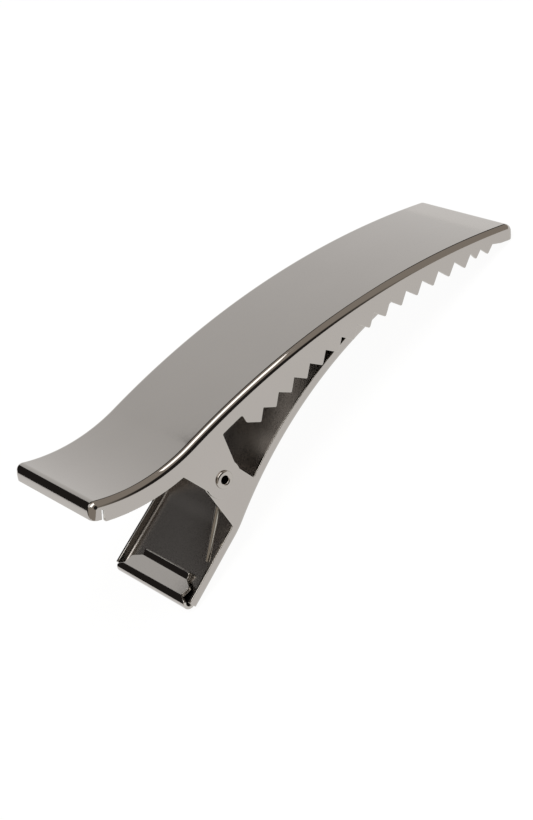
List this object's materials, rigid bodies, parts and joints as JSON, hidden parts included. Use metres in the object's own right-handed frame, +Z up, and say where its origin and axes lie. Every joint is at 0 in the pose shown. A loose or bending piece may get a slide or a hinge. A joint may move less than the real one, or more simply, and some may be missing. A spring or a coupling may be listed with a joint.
{
  "type": "sectioning clip",
  "caption": "Sprung steel hair sectioning clip: arched toothed upper jaw over a plain lower jaw, hollow rivet pivot, torsion spring.",
  "frame": {"origin": "on the surface that the clip stands on, under the middle of its box", "axes": "+X towards the tips of the jaws, +Z up, Y along the rivet"},
  "size_m": [0.0738, 0.0214, 0.0251],
  "materials": {
    "upper_plate": "polished gunmetal plating",
    "lower_plate": "polished gunmetal plating",
    "rivet": "bright nickel plating",
    "spring_wire": "drawn spring steel wire"
  },
  "bodies": {
    "lower": {"lower_jaw": "lower_plate", "pivot_rivet": "rivet", "torsion_spring": "spring_wire"},
    "upper": {"upper_jaw": "upper_plate"}
  },
  "joints": [
    {"name": "jaw_pivot", "type": "hinge", "parent": "lower", "child": "upper", "pos_m": [-0.02009, 0, 0.01161], "axis": [0, -1, 0], "range_deg": [0, 70], "stiffness_Nm_per_rad": 0.0174, "springref_deg": -137.51, "deforming": ["torsion_spring"]}
  ]
}
